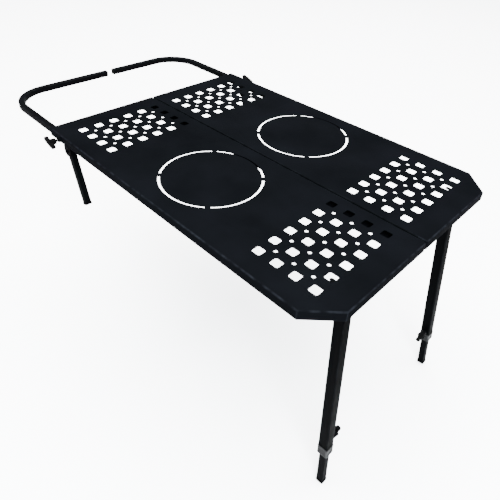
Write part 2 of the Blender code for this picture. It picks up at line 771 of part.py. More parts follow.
def front_leg(label, side):
    """A telescoping leg on its pivot: outer tube, collar, clamp nut and knob, inner tube and foot."""
    x = side * LEG_OFFSET
    inward = -side
    pivot = add_pivot("leg_" + label + "_pivot", (x, LEG_PIVOT_Y, LEG_PIVOT_Z))
    pivot.rotation_euler = (-LEG_LEAN, -side * LEG_SPLAY, 0)
    tube_end = -(LEG_TO_COLLAR - COLLAR_LIP - TOUCH)
    knob_z = -(LEG_TO_COLLAR - LEG_KNOB_FROM_COLLAR)

    bm = bmesh.new()
    stations = straight_stations((0, 0, LEG_TOP_END), (0, 0, tube_end), (1, 0, 0), (0, 1, 0))
    square_tube(bm, LEG_TUBE, LEG_WALL, stations)
    tube = add_object("leg_" + label, bm, TUBE_COAT, parent=pivot)
    bm = bmesh.new()
    reach = LEG_TUBE / 2 + OVERCUT
    cylinder(bm, BOLT_RADIUS + SHAFT_FIT, (-reach, 0, 0), (reach, 0, 0), 12)
    cylinder(bm, SCREW_RADIUS + SHAFT_FIT, (inward * INNER_TUBE / 4, 0, knob_z), (inward * reach, 0, knob_z), 12)
    cut(tube, bm, "leg_" + label + "_hole_cutter")

    bm = bmesh.new()
    collar_top = tube_end - COLLAR_LIP - TOUCH + COLLAR_HEIGHT
    collar_low = tube_end - COLLAR_LIP - TOUCH
    collar_width = LEG_TUBE + 2 * (TOUCH + COLLAR_WALL)
    outline = [(p.x, p.y, 0) for p in tube_section(collar_width, TUBE_CORNER + COLLAR_WALL)]
    prism(bm, outline, (0, 0, collar_low), (0, 0, collar_top))
    collar = add_object("leg_collar_" + label, bm, COLLAR_NYLON, parent=pivot)
    bm = bmesh.new()
    outline = [(p.x, p.y, 0) for p in tube_section(LEG_TUBE + 2 * TOUCH, TUBE_CORNER)]
    prism(bm, outline, (0, 0, tube_end - TOUCH), (0, 0, collar_top + OVERCUT))
    cut(collar, bm, "leg_collar_" + label + "_socket")
    bm = bmesh.new()
    outline = [(p.x, p.y, 0) for p in tube_section(INNER_TUBE + 2 * TOUCH, TUBE_CORNER)]
    prism(bm, outline, (0, 0, collar_low - OVERCUT), (0, 0, tube_end + OVERCUT))
    cut(collar, bm, "leg_collar_" + label + "_bore")

    slider = add_pivot("inner_leg_" + label + "_slide", (0, 0, 0))
    slider.parent = pivot
    inner_end = -(LEG_TO_COLLAR + LEG_EXTENSION - FOOT_HEIGHT)
    inner_top = -(LEG_TO_COLLAR - LEG_OVERLAP)
    bm = bmesh.new()
    stations = straight_stations((0, 0, inner_top), (0, 0, inner_end + TOUCH), (1, 0, 0), (0, 1, 0))
    square_tube(bm, INNER_TUBE, INNER_WALL, stations)
    add_object("inner_leg_" + label, bm, TUBE_COAT, parent=slider)
    stepped_plug(
        "foot_" + label,
        (inner_end - FOOT_HEIGHT, inner_end),
        (inner_end - FOOT_HEIGHT / 2, inner_end + FOOT_PLUG),
        "Z",
        RUBBER,
        slider,
        head_width=INNER_TUBE + 2 * FOOT_OVERHANG,
    )

    face = (inward * LEG_TUBE / 2, 0, knob_z)
    weld_nut("leg_nut_" + label, face, inward, pivot)
    turn = add_pivot("leg_knob_" + label + "_axis", face)
    turn.parent = pivot
    tip = -(LEG_TUBE - INNER_TUBE) / 2 + TOUCH
    clamp_knob("leg_knob_" + label, "leg_screw_" + label, inward, LEG_KNOB_TILT, tip, LEG_KNOB_STAND_OFF, turn)


def post_bracket(name, x):
    """The rear post's bracket, welded under the receiver, with a low strap behind the post as its stop."""
    under = RECEIVER_UNDER_Z - TOUCH - POST_PIVOT_Z
    low = -BRACKET_EAR_BELOW_PIVOT
    strap_top = low + STOP_STRAP_HEIGHT
    back = BRACKET_HALF_LENGTH
    post_back = strap_top * math.tan(POST_LEAN) + INNER_TUBE / 2 / math.cos(POST_LEAN) + TOUCH
    profile = [
        (-back, under),
        (-back, 0),
        (-BRACKET_TOE, low),
        (post_back + BRACKET_WALL, low),
        (post_back + BRACKET_WALL, strap_top),
        (back, 0),
        (back, under),
    ]
    web_under_receiver = under - BRACKET_WALL
    channels = [
        (-back - OVERCUT, post_back, low - OVERCUT, web_under_receiver),
        (0, back + OVERCUT, strap_top, web_under_receiver),
    ]
    return bracket(name, (x, -POST_FROM_BACK, POST_PIVOT_Z), profile, INNER_TUBE, channels)


def rear_post(label, side):
    """A short square post on a pivot under the receiver, with a plug in its lower end."""
    x = side * RECEIVER_X
    pivot = add_pivot(
        "post_" + label + "_pivot", (x, -POST_FROM_BACK, POST_PIVOT_Z), (-POST_LEAN, 0, 0)
    )
    low = -POST_LENGTH
    tube_low = low + FOOT_HEIGHT
    bm = bmesh.new()
    stations = straight_stations((0, 0, POST_TOP_END), (0, 0, tube_low + TOUCH), (1, 0, 0), (0, 1, 0))
    square_tube(bm, INNER_TUBE, INNER_WALL, stations)
    tube = add_object("post_" + label, bm, TUBE_COAT, parent=pivot)
    bm = bmesh.new()
    reach = INNER_TUBE / 2 + OVERCUT
    cylinder(bm, BOLT_RADIUS + SHAFT_FIT, (-reach, 0, 0), (reach, 0, 0), 12)
    cut(tube, bm, "post_" + label + "_hole_cutter")
    stepped_plug(
        "post_cap_" + label,
        (low, tube_low),
        (low + FOOT_HEIGHT / 2, tube_low + FOOT_PLUG),
        "Z",
        RUBBER,
        pivot,
        head_width=INNER_TUBE + 2 * FOOT_OVERHANG,
    )


def build_side(label, side):
    """Everything on one side of the seam but the top itself and the hinge leaf."""
    arm_receiver("arm_receiver_" + label, side)
    arm_pivot = add_pivot("arm_" + label + "_slide", (side * RECEIVER_X, 0, ARM_Z))
    tire_arm("arm_" + label, side, arm_pivot)
    arm_cap("arm_cap_" + label, side, arm_pivot)

    flange_face = (side * HALF_WIDTH, -ARM_KNOB_FROM_BACK, ARM_Z)
    weld_nut("arm_nut_" + label, flange_face, side)
    knob_axis = add_pivot("arm_knob_" + label + "_axis", flange_face)
    tip = RECEIVER_X + INNER_TUBE / 2 + TOUCH - HALF_WIDTH
    clamp_knob(
        "arm_knob_" + label, "arm_screw_" + label, side, ARM_KNOB_TILT, tip, ARM_KNOB_STAND_OFF, knob_axis
    )

    leg_bracket("leg_bracket_" + label, side)
    ear_outside = SWING_FIT + BRACKET_WALL
    leg_bolt_place = (side * LEG_OFFSET, LEG_PIVOT_Y, LEG_PIVOT_Z)
    leg_bolt_reach = LEG_TUBE / 2 + SPLAY_ROOM + ear_outside
    pivot_bolt("leg_bolt_" + label, leg_bolt_place, leg_bolt_reach, -side * LEG_SPLAY)
    front_leg(label, side)

    post_x = side * RECEIVER_X
    post_bracket("post_bracket_" + label, post_x)
    pivot_bolt("post_bolt_" + label, (post_x, -POST_FROM_BACK, POST_PIVOT_Z), INNER_TUBE / 2 + ear_outside)
    rear_post(label, side)


for leftover in list(bpy.data.objects):
    bpy.data.objects.remove(leftover, do_unlink=True)

seam_axis = add_pivot("seam_hinge_axis", (0, -TOP_LENGTH / 2, TOP_Z + HINGE_AXIS_RISE))
table_half("left_top", -1)
table_half("right_top", 1)
hinge_leaf("seam_hinge_leaf_left", -1, seam_axis)
hinge_leaf("seam_hinge_leaf_right", 1, seam_axis)
hinge_pin()
build_side("left", -1)
build_side("right", 1)
bpy.context.view_layer.update()
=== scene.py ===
import math

import bmesh
import bpy
from mathutils import Matrix, Vector


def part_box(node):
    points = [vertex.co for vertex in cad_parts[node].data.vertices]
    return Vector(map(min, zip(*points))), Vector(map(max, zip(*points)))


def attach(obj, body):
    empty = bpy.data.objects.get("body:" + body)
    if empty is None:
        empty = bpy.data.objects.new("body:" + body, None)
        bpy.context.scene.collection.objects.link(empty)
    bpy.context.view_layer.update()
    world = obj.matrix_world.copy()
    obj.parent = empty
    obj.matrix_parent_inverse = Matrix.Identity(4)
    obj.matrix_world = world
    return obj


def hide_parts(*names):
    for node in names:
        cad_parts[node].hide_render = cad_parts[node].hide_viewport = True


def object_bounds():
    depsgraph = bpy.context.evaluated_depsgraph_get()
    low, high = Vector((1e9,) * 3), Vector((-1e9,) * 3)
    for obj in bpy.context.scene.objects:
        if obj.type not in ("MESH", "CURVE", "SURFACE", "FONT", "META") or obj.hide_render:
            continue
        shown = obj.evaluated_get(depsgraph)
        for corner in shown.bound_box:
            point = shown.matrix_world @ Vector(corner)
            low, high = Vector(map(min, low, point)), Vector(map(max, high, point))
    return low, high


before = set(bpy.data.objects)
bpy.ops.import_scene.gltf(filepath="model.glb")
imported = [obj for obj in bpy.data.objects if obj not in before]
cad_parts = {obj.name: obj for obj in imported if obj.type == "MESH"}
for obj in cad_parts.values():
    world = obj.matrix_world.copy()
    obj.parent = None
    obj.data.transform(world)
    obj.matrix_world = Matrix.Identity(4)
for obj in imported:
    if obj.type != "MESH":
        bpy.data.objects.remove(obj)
cad_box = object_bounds()


# The two halves of the top. Each is one 2 mm steel sheet, laser cut, folded down on all four sides, with
# its edges returned inwards as a stiffening lip and its front outer corner cut off. After folding it is
# powder coated in satin black, which leaves a fine orange-peel texture.
sheet = 0.002
half_width = 0.36575
seam_face = 0.002
joint_gap = 0.0003
table_length = 1.0225
flange_depth = 0.025
side_lip = 0.0195
seam_lip = 0.028
corner_cut = 0.067
fold_radius = 0.003
inner_fold_radius = 0.001
corner_radius = 0.004
top_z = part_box("left_top")[1][2]
flange_low = top_z - flange_depth

# The frame comes with its CAD nodes selected.
bpy.ops.object.select_all(action="DESELECT")


def begin(name, size=(1, 1, 1)):
    """Names the primitive that was just added, gives it its size and opens it for editing."""
    piece = bpy.context.object
    piece.name = name
    piece.data.name = name
    piece.scale = size
    bpy.ops.object.transform_apply(location=True, rotation=True, scale=True)
    bpy.ops.object.mode_set(mode="EDIT")
    return piece


def pick(kind, test):
    """Selects the corners, edges or faces that pass the test, and nothing else."""
    mesh = bpy.context.edit_object.data
    bpy.ops.mesh.select_mode(type=kind)
    bpy.ops.mesh.select_all(action="DESELECT")
    work = bmesh.from_edit_mesh(mesh)
    for item in {"VERT": work.verts, "EDGE": work.edges, "FACE": work.faces}[kind]:
        if test(item):
            item.select_set(True)
    work.select_flush_mode()
    bmesh.update_edit_mesh(mesh)


def middle(edge):
    """The point halfway along an edge."""
    return (edge.verts[0].co + edge.verts[1].co) / 2


def runs_along(edge, axis):
    """True for an edge that lies along X, Y or Z, given as 0, 1 or 2."""
    run = edge.verts[1].co - edge.verts[0].co
    return abs(run[axis]) > 0.999 * run.length


def extrude(shift):
    """Pulls what is selected out along a straight line."""
    bpy.ops.mesh.extrude_region_move(TRANSFORM_OT_translate={"value": shift})


def close_shape(piece, angle=35):
    """Welds the doubled corners, turns the faces outwards and shades the small angles smooth."""
    bpy.ops.object.mode_set(mode="EDIT")
    bpy.ops.mesh.select_all(action="SELECT")
    bpy.ops.mesh.remove_doubles(threshold=0.00001)
    bpy.ops.mesh.normals_make_consistent(inside=False)
    bpy.ops.object.mode_set(mode="OBJECT")
    bpy.ops.object.select_all(action="DESELECT")
    piece.select_set(True)
    bpy.context.view_layer.objects.active = piece
    bpy.ops.object.shade_smooth_by_angle(angle=math.radians(angle))


def half_slab(name, inset, low, high, corner, high_round, low_round):
    """A solid slab with the left half's outline, drawn in by an inset, its corners and rims rounded."""
    width = half_width - seam_face
    bpy.ops.mesh.primitive_plane_add(size=1, location=(-seam_face - width / 2, -table_length / 2, high))
    slab = begin(name, (width, table_length, 1))
    pick("VERT", lambda v: v.co.x < -half_width + 0.001 and v.co.y < -table_length + 0.001)
    bpy.ops.mesh.bevel(offset=corner_cut, offset_type="OFFSET", segments=1, affect="VERTICES")
    pick("FACE", lambda f: True)
    if inset:
        bpy.ops.mesh.inset(thickness=inset, use_even_offset=True)
        bpy.ops.mesh.select_all(action="INVERT")
        bpy.ops.mesh.delete(type="FACE")
        pick("FACE", lambda f: True)
    extrude((0, 0, low - high))
    pick("EDGE", lambda e: runs_along(e, 2) and e.calc_face_angle() < 1)
    bpy.ops.mesh.bevel(offset=corner * math.tan(math.pi / 8), segments=4, affect="EDGES")
    pick("EDGE", lambda e: runs_along(e, 2) and e.calc_face_angle() > 1)
    bpy.ops.mesh.bevel(offset=corner, segments=6, affect="EDGES")
    for rim, rounding in ((high, high_round), (low, low_round)):
        if rounding:
            pick("EDGE", lambda e: e.calc_face_angle() > 1 and abs(middle(e).z - rim) < 0.0001)
            bpy.ops.mesh.bevel(offset=rounding, segments=6, affect="EDGES")
    close_shape(slab)
    return slab


def apply_last(piece):
    """Makes the modifier that was added last part of the mesh."""
    bpy.ops.object.select_all(action="DESELECT")
    piece.select_set(True)
    bpy.context.view_layer.objects.active = piece
    bpy.ops.object.modifier_apply(modifier=piece.modifiers[-1].name)


def join(pieces):
    """Makes several shapes one object."""
    bpy.ops.object.select_all(action="DESELECT")
    for piece in pieces:
        piece.select_set(True)
    bpy.context.view_layer.objects.active = pieces[0]
    if len(pieces) > 1:
        bpy.ops.object.join()
    return pieces[0]


def combine(piece, tools, how="DIFFERENCE"):
    """Cuts the tools out of a piece, fuses them to it, or keeps only what they share."""
    tool = join(tools)
    boolean = piece.modifiers.new("combine", "BOOLEAN")
    boolean.object = tool
    boolean.operation = how
    boolean.solver = "EXACT"
    apply_last(piece)
    bpy.data.objects.remove(tool, do_unlink=True)


def block(name, low, high):
    """A plain box between two corners, as the start of a piece or as a cutter."""
    low = Vector(low)
    high = Vector(high)
    bpy.ops.mesh.primitive_cube_add(size=1, location=(low + high) / 2)
    piece = begin(name, high - low)
    bpy.ops.object.mode_set(mode="OBJECT")
    return piece


# The press brake leaves a round along each fold, 3 mm outside and 1 mm inside. The lip is wider along the
# seam, where it stiffens the hinge, than along the outer sides.
lip_fold_radius = 0.0026
inner_lip_radius = 0.0006
lip_corner_radius = 0.006
left_half = half_slab("top_sheet_left", 0, flange_low, top_z, corner_radius, fold_radius, lip_fold_radius)
inside_top = top_z - sheet
hollow_round = corner_radius - sheet
hollow = half_slab(
    "hollow", sheet, flange_low + sheet, inside_top, hollow_round, inner_fold_radius, inner_lip_radius
)
combine(left_half, [hollow])
opening = half_slab("between_lips", side_lip, flange_low - 0.003, inside_top - 0.005, lip_corner_radius, 0, 0)
seam_strip = block(
    "seam_strip", (-seam_face - seam_lip, -table_length, flange_low - 0.005), (0.01, 0, inside_top)
)
combine(opening, [seam_strip])
combine(left_half, [opening])

# Two clusters of laser-cut holes lie in each half: rounded squares on a square grid with a small round hole
# in the middle of each four. Between the clusters a plain ring of four slots is cut.
hole_pitch = 0.0508
square_hole = 0.0235
square_hole_corner = 0.0045
small_hole = 0.0095
punch_low = top_z - 0.005
punch_high = top_z + 0.004
ring_middle = Vector((-half_width / 2, -table_length / 2, top_z))
ring_radius = 0.134
ring_slot = 0.006
ring_bridge = 0.014


def square_punch():
    """A square punch with rounded corners, upright at the origin."""
    half_hole = square_hole / 2
    punch = block("square_punch", (-half_hole, -half_hole, punch_low), (half_hole, half_hole, punch_high))
    bpy.ops.object.mode_set(mode="EDIT")
    pick("EDGE", lambda e: runs_along(e, 2))
    bpy.ops.mesh.bevel(offset=square_hole_corner, segments=5, affect="EDGES")
    bpy.ops.object.mode_set(mode="OBJECT")
    return punch


def slot_cutter(number):
    """One slot of the ring: a small upright plate swept round the ring's middle."""
    reach = math.pi / 2 - ring_bridge / ring_radius
    start = number * math.pi / 2 - reach / 2
    place = ring_middle + Vector((math.cos(start), math.sin(start), 0)) * ring_radius
    bpy.ops.mesh.primitive_plane_add(size=0.009, location=(0, 0, 0), rotation=(math.pi / 2, 0, 0))
    cutter = begin("slot_cutter", (ring_slot / 0.009, 1, 1))
    bpy.ops.object.mode_set(mode="OBJECT")
    cutter.data.transform(Matrix.Translation(place) @ Matrix.Rotation(start, 4, "Z"))
    bpy.ops.object.mode_set(mode="EDIT")
    bpy.ops.mesh.select_all(action="SELECT")
    bpy.ops.mesh.spin(steps=20, angle=-reach, center=ring_middle, axis=(0, 0, 1))
    close_shape(cutter)
    return cutter


def copy_of(piece, name, place):
    """A copy with its own mesh, moved, turned or mirrored by a matrix."""
    twin = piece.copy()
    twin.data = piece.data.copy()
    twin.name = name
    twin.data.name = name
    bpy.context.scene.collection.objects.link(twin)
    twin.data.transform(place)
    if place.determinant() < 0:
        twin.data.flip_normals()
    return twin


def rod(name, radius, start, end, sides=32, end_radius=None):
    """A round bar or taper between two points, as the start of a piece or as a cutter."""
    axis = Vector(end) - Vector(start)
    turn = Vector((0, 0, 1)).rotation_difference(axis).to_euler()
    bpy.ops.mesh.primitive_cone_add(
        vertices=sides,
        radius1=radius,
        radius2=radius if end_radius is None else end_radius,
        depth=axis.length,
        location=(Vector(start) + Vector(end)) / 2,
        rotation=turn,
    )
    piece = begin(name)
    bpy.ops.object.mode_set(mode="OBJECT")
    return piece


punch = square_punch()
first_column = -0.044
front_margin = 0.0775
back_margin = 0.075
columns = [first_column - k * hole_pitch for k in range(6)]
front_rows = [-table_length + front_margin + k * hole_pitch for k in range(4)]
back_rows = [-back_margin - k * hole_pitch for k in range(4)]
cutters = []
for rows in (front_rows, back_rows):
    for x in columns:
        for y in rows:
            cutters.append(copy_of(punch, "hole", Matrix.Translation((x, y, 0))))
drill = rod("drill", small_hole / 2, (0, 0, punch_low), (0, 0, punch_high), sides=20)
for rows in (front_rows, back_rows):
    for x, x_next in zip(columns, columns[1:]):
        for y, y_next in zip(rows, rows[1:]):
            middle_of_four = Matrix.Translation(((x + x_next) / 2, (y + y_next) / 2, 0))
            cutters.append(copy_of(drill, "small_hole", middle_of_four))
for number in range(4):
    cutters.append(slot_cutter(number))
for used in (punch, drill):
    bpy.data.objects.remove(used, do_unlink=True)


def soften(piece, width, steps=2, angle=40):
    """Rounds a piece's sharp edges a little, as a deburred or moulded edge is."""
    bevel = piece.modifiers.new("soft_edges", "BEVEL")
    bevel.width = width
    bevel.segments = steps
    bevel.limit_method = "ANGLE"
    bevel.angle_limit = math.radians(angle)
    apply_last(piece)


# The lips stop short of the arm's receiver, the back flange has a notch that the arm leaves through, and
# the side flange has a hole for the clamp screw.
receiver_x = 0.35075
arm_z = 0.009525
outer_tube = 0.0254
inner_tube = 0.01905
receiver_length = 0.262
knob_back = 0.060
clear = 0.0005
screw_hole = 0.0043
cutters.append(
    block(
        "lip_cutter",
        (-half_width + sheet - 0.0002, -receiver_length - 0.0006, flange_low - 0.003),
        (-receiver_x + outer_tube / 2 + 0.0006, -sheet + 0.0002, flange_low + sheet + 0.003),
    )
)
notch = inner_tube / 2 + clear
cutters.append(
    block(
        "arm_notch",
        (-receiver_x - notch, -0.005, flange_low - 0.003),
        (-receiver_x + notch, 0.003, arm_z + notch),
    )
)
cutters.append(
    rod(
        "screw_hole",
        screw_hole,
        (-half_width - 0.004, -knob_back, arm_z),
        (-half_width + 0.005, -knob_back, arm_z),
    )
)
holes = [c for c in cutters if c.name.split(".")[0] not in ("lip_cutter", "arm_notch")]
combine(left_half, holes)
for name in ("lip_cutter", "arm_notch"):
    combine(left_half, [bpy.data.objects[name]])
soften(left_half, 0.0003)
close_shape(left_half)


def coated_finish(name, deep, pale, roughness, specular, grain, grain_height, edge_wear_and_highlight):
    """A painted, moulded or blackened surface: uneven colour, handling marks, grain, and paler edges that are
    partly rubbed wear and partly a painted highlight along the folds.
    """
    finish = bpy.data.materials.new(name)
    finish.use_nodes = True
    nodes = finish.node_tree.nodes
    links = finish.node_tree.links
    shader = nodes["Principled BSDF"]
    shader.inputs["Specular IOR Level"].default_value = specular
    place = nodes.new("ShaderNodeTexCoord").outputs["Object"]

    # Broad clouds in the colour
    clouds = nodes.new("ShaderNodeTexNoise")
    clouds.inputs["Scale"].default_value = 7
    clouds.inputs["Detail"].default_value = 5
    links.new(place, clouds.inputs["Vector"])
    color = nodes.new("ShaderNodeValToRGB")
    color.color_ramp.elements[0].position = 0.32
    color.color_ramp.elements[0].color = (*deep, 1)
    color.color_ramp.elements[1].position = 0.72
    color.color_ramp.elements[1].color = (*pale, 1)
    links.new(clouds.outputs["Fac"], color.inputs["Fac"])

    # Edges painted a little paler, here and there: partly rubbed wear, partly a painted highlight along the
    # rounded folds
    edges = nodes.new("ShaderNodeAttribute")
    edges.attribute_name = "worn_and_highlit_edge"
    patches = nodes.new("ShaderNodeTexNoise")
    patches.inputs["Scale"].default_value = 60
    patches.inputs["Detail"].default_value = 4
    links.new(place, patches.inputs["Vector"])
    wear_and_highlight_mask = nodes.new("ShaderNodeMapRange")
    wear_and_highlight_mask.inputs["From Min"].default_value = 0.35
    wear_and_highlight_mask.inputs["From Max"].default_value = 0.75
    wear_and_highlight_mask.inputs["To Max"].default_value = edge_wear_and_highlight
    links.new(patches.outputs["Fac"], wear_and_highlight_mask.inputs["Value"])
    on_edges = nodes.new("ShaderNodeMath")
    on_edges.operation = "MULTIPLY"
    links.new(edges.outputs["Fac"], on_edges.inputs[0])
    links.new(wear_and_highlight_mask.outputs["Result"], on_edges.inputs[1])
    # The paler edge colour mixed in here is partly rubbed wear and partly a painted highlight along the folds.
    wear_and_highlight_mix = nodes.new("ShaderNodeMix")
    wear_and_highlight_mix.data_type = "RGBA"
    wear_and_highlight_mix.inputs["B"].default_value = (*[6 * c for c in pale], 1)
    links.new(on_edges.outputs["Value"], wear_and_highlight_mix.inputs["Factor"])
    links.new(color.outputs["Color"], wear_and_highlight_mix.inputs["A"])
    links.new(wear_and_highlight_mix.outputs["Result"], shader.inputs["Base Color"])

    # Smudges from hands in the gloss
    smudges = nodes.new("ShaderNodeTexNoise")
    smudges.inputs["Scale"].default_value = 28
    smudges.inputs["Detail"].default_value = 8
    smudges.inputs["Distortion"].default_value = 0.6
    links.new(place, smudges.inputs["Vector"])
    gloss = nodes.new("ShaderNodeMapRange")
    gloss.inputs["From Min"].default_value = 0.3
    gloss.inputs["From Max"].default_value = 0.7
    gloss.inputs["To Min"].default_value = roughness - 0.06
    gloss.inputs["To Max"].default_value = roughness + 0.07
    links.new(smudges.outputs["Fac"], gloss.inputs["Value"])
    links.new(gloss.outputs["Result"], shader.inputs["Roughness"])

    # Orange peel and fine grain as relief
    peel = nodes.new("ShaderNodeTexNoise")
    peel.inputs["Scale"].default_value = grain
    peel.inputs["Detail"].default_value = 3
    peel.inputs["Roughness"].default_value = 0.6
    links.new(place, peel.inputs["Vector"])
    relief = nodes.new("ShaderNodeBump")
    relief.inputs["Strength"].default_value = 0.5
    relief.inputs["Distance"].default_value = grain_height
    links.new(peel.outputs["Fac"], relief.inputs["Height"])
    links.new(relief.outputs["Normal"], shader.inputs["Normal"])
    return finish


def mark_worn_and_highlit_edges(piece):
    """Marks the narrow faces along a piece's rounded edges, where hands and straps rub the finish and where a
    paler line is painted in as a highlight along the folds.
    """
    mesh = piece.data
    wear_and_highlight_mask = mesh.attributes.new("worn_and_highlit_edge", "FLOAT", "FACE")
    for face in mesh.polygons:
        corners = [mesh.vertices[v].co for v in face.vertices]
        longest = max((a - b).length for a, b in zip(corners, corners[1:] + corners[:1]))
        wear_and_highlight_mask.data[face.index].value = 1.0 if face.area / longest < 0.0009 else 0.0


def dress(piece, finish, body, slot, *nodes):
    """Gives a piece its finish, and ties it to the body it moves with and the nodes it stands for."""
    mark_worn_and_highlit_edges(piece)
    piece.data.materials.clear()
    piece.data.materials.append(finish)
    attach(piece, body)
    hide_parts(*nodes)


powder_coat = coated_finish(
    "satin_powder_coat",
    deep=(0.0007, 0.0008, 0.001),
    pale=(0.0011, 0.00125, 0.0016),
    roughness=0.58,
    specular=0.0003,
    grain=800,
    grain_height=0.00006,
    edge_wear_and_highlight=0.4,
)
mirror = Matrix.Scale(-1, 4, (1, 0, 0))
right_half = copy_of(left_half, "top_sheet_right", mirror)
for side_name, half in (("left", left_half), ("right", right_half)):
    dress(half, powder_coat, side_name + "_half", "powder_coat", side_name + "_top")


# The long hinge in the seam: two strips of blackened steel, each rolled into every second knuckle round a
# thin pin, and welded down the inner flanges of the two halves.
pin_z = top_z + 0.0004
knuckle_radius = 0.0024
pin_radius = 0.0012
knuckle_count = 11
hinge_margin = 0.024
hinge_front = -table_length + hinge_margin
knuckle_length = (table_length - 2 * hinge_margin) / knuckle_count
leaf = 0.0012
steel = coated_finish(
    "blackened_steel",
    deep=(0.0004, 0.0005, 0.0006),
    pale=(0.0008, 0.0009, 0.0011),
    roughness=0.55,
    specular=0.0006,
    grain=500,
    grain_height=0.00003,
    edge_wear_and_highlight=0.12,
)


def hinge_strip(name, side):
    """A leaf with its own knuckles."""
    outer = seam_face - joint_gap
    inner = outer - leaf
    low_z = pin_z - knuckle_radius - 0.017
    strip = block(
        name,
        (min(side * inner, side * outer), hinge_front + joint_gap, low_z),
        (max(side * inner, side * outer), -hinge_margin - joint_gap, pin_z - knuckle_radius - joint_gap),
    )
    own = 0 if side < 0 else 1
    parts = []
    for k in range(own, knuckle_count, 2):
        start = hinge_front + k * knuckle_length + joint_gap
        end = hinge_front + (k + 1) * knuckle_length - joint_gap
        parts.append(rod("knuckle", knuckle_radius, (0, start, pin_z), (0, end, pin_z), sides=24))
        tangent = block(
            "curl",
            (min(side * inner, side * outer), start, pin_z - knuckle_radius - 0.001),
            (max(side * inner, side * outer), end, pin_z),
        )
        parts.append(tangent)
    for part in parts:
        combine(strip, [part], "UNION")
    bore = rod("bore", pin_radius + 0.0002, (0, hinge_front - 0.01, pin_z), (0, -0.01, pin_z), sides=16)
    combine(strip, [bore])
    soften(strip, 0.0002, 1)
    close_shape(strip)
    return strip


for side_name, side in (("left", -1), ("right", 1)):
    strip = hinge_strip("hinge_strip_" + side_name, side)
    dress(strip, steel, side_name + "_half", "dark_steel", "seam_hinge_leaf_" + side_name)
pin = rod("hinge_pin", pin_radius, (0, hinge_front, pin_z), (0, -hinge_margin, pin_z), sides=20)
soften(pin, 0.0003, 2)
close_shape(pin)
dress(pin, steel, "left_half", "dark_steel", "seam_hinge_pin")


# The arm receivers: 25 mm square steel tubes in the corner between the sheet and the side flange, held by
# short stitch welds and coated with the sheet.
tube_wall = 0.002675
tube_corner = 0.0022
tube_coat = coated_finish(
    "tube_powder_coat",
    deep=(0.0004, 0.00044, 0.0005),
    pale=(0.0006, 0.00068, 0.0008),
    roughness=0.6,
    specular=0.002,
    grain=900,
    grain_height=0.00006,
    edge_wear_and_highlight=0.5,
)


def square_bar(name, width, corner, start, end, steps=6):
    """A square bar with rounded edges, along Z from one height to another."""
    bar = block(name, (-width / 2, -width / 2, start), (width / 2, width / 2, end))
    bpy.ops.object.mode_set(mode="EDIT")
    pick("EDGE", lambda e: runs_along(e, 2))
    bpy.ops.mesh.bevel(offset=corner, segments=steps, affect="EDGES")
    bpy.ops.object.mode_set(mode="OBJECT")
    return bar


def square_tube(name, width, wall, start, end):
    """A square tube along Z with its ends deburred."""
    tube = square_bar(name, width, tube_corner, start, end)
    combine(tube, [square_bar("hollow", width - 2 * wall, 0.0008, start - 0.01, end + 0.01, 3)])
    soften(tube, 0.0003, 2, 60)
    return tube


def weld_bead(name, length, radius):
    """A rippled bead along Y: a bar whose rings swell and shrink, with round ends."""
    rings = max(6, int(length / (radius * 0.55)))
    bpy.ops.mesh.primitive_cylinder_add(
        vertices=10, radius=radius, depth=length, rotation=(math.pi / 2, 0, 0), end_fill_type="NGON"
    )
    bead = begin(name)
    for k in range(1, rings):
        bpy.ops.mesh.select_all(action="SELECT")
        y = -length / 2 + length * k / rings
        bpy.ops.mesh.bisect(plane_co=(0, y, 0), plane_no=(0, 1, 0))
    bpy.ops.object.mode_set(mode="OBJECT")
    for v in bead.data.vertices:
        k = round((v.co.y + length / 2) / length * rings)
        swell = 0.82 if k % 2 else 1.0
        if k in (0, rings):
            swell = 0.4
        v.co.x *= swell
        v.co.z *= swell
    close_shape(bead, 50)
    return bead


receiver = square_tube("arm_receiver_tube_left", outer_tube, tube_wall, 0.0043, receiver_length)
along_y = Matrix.Translation((-receiver_x, 0, arm_z)) @ Matrix.Rotation(math.pi / 2, 4, "X")
receiver.data.transform(along_y)
combine(
    receiver,
    [rod("screw_hole", screw_hole, (-half_width, -knob_back, arm_z), (-receiver_x - 0.008, -knob_back, arm_z))],
)
stitch = weld_bead("stitch_weld", 0.022, 0.0018)
inner_corner = -receiver_x + outer_tube / 2
stitches = []
for y in (-0.030, -0.130, -0.235):
    seat = Matrix.Translation((inner_corner + joint_gap, y, top_z - sheet - 0.0004))
    stitches.append(copy_of(stitch, "stitch", seat))
receiver_welded = join([receiver] + stitches)
close_shape(receiver_welded)
bpy.data.objects.remove(stitch, do_unlink=True)
dress(receiver_welded, tube_coat, "left_half", "tube_coat", "arm_receiver_left")
dress(
    copy_of(receiver_welded, "arm_receiver_tube_right", mirror),
    tube_coat,
    "right_half",
    "tube_coat",
    "arm_receiver_right",
)


# The tire arms: 19 mm square steel tube with 1.6 mm walls. Each leaves its receiver, turns once round a
# bending former and passes behind the tire. They are coated before assembly.
inner_wall = 0.0016
tire_space = 0.306
bend_radius = 0.115
arm_inside = 0.192
crossbar_y = tire_space + inner_tube / 2
arm_gap_middle = 0.028
arm_gap = 0.030


